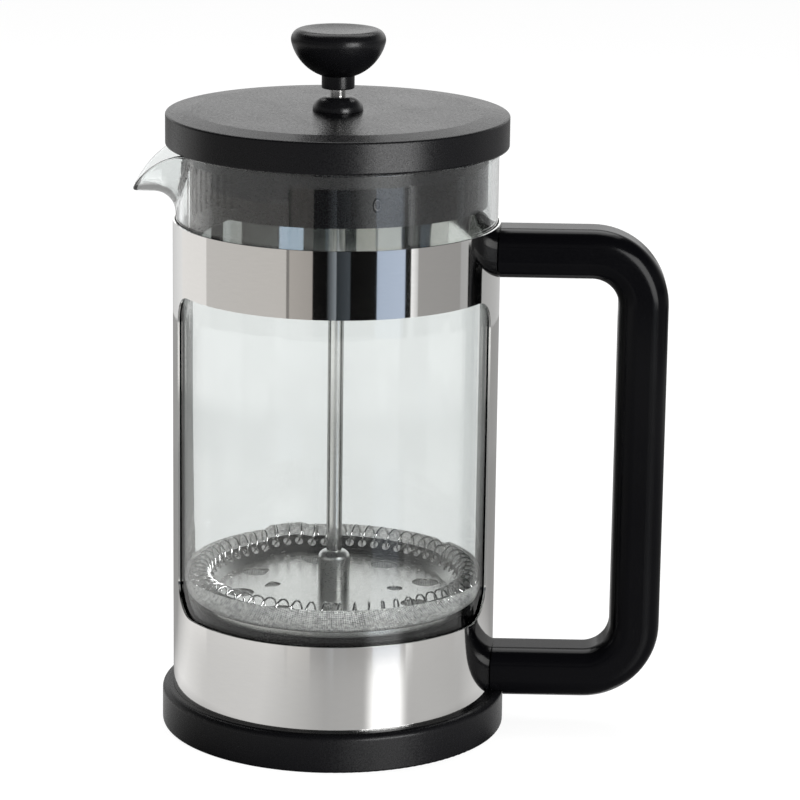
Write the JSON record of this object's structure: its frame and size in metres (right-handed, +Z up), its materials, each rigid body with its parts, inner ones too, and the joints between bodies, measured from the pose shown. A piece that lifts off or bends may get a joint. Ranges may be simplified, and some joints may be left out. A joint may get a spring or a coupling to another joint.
{
  "type": "french press",
  "caption": "French press with a glass beaker in a windowed steel sleeve, D handle, strainer lid and a sprung filter on a knobbed rod.",
  "frame": {"origin": "on the beaker's axis, at the table", "axes": "+Z up along the beaker's axis, +X towards the handle, -X towards the spout"},
  "size_m": [0.1638, 0.1068, 0.2178],
  "materials": {
    "black_plastic": "fine-grained matte moulding",
    "gloss_black_plastic": "smooth gloss moulding",
    "polished_steel": "mirror-polished rolled sheet",
    "satin_steel": "satin stainless",
    "spring_wire": "bright drawn wire",
    "woven_steel": "fine woven wire cloth",
    "clear_glass": "clear borosilicate",
    "insert_brass": "turned and knurled"
  },
  "bodies": {
    "stand": {"base": "black_plastic", "sleeve": "polished_steel", "handle": "black_plastic", "handle_inserts": "insert_brass", "handle_screws": "satin_steel"},
    "beaker": {"beaker": "clear_glass"},
    "guide": {"rod_guide": "gloss_black_plastic", "guide_nut": "satin_steel"},
    "lid": {"lid": "black_plastic"},
    "plunger": {"knob": "black_plastic", "knob_insert": "insert_brass", "rod": "satin_steel", "rod_collar": "satin_steel", "spiral_plate": "satin_steel", "garter_spring": "spring_wire", "mesh_screen": "woven_steel", "cross_plate": "satin_steel", "clamp_nut": "satin_steel"}
  },
  "joints": [
    {"name": "beaker_lift", "type": "slide", "parent": "stand", "child": "beaker", "axis": [0, 0, 1], "range_m": [0, 0.165]},
    {"name": "lid_lift", "type": "slide", "parent": "beaker", "child": "guide", "axis": [0, 0, 1], "range_m": [0, 0.16]},
    {"name": "lid_turn", "type": "hinge", "parent": "guide", "child": "lid", "pos_m": [0, 0, 0.1875], "axis": [0, 0, 1], "continuous": true},
    {"name": "plunger_slide", "type": "slide", "parent": "guide", "child": "plunger", "axis": [0, 0, 1], "range_m": [-0.0022, 0.104]}
  ]
}
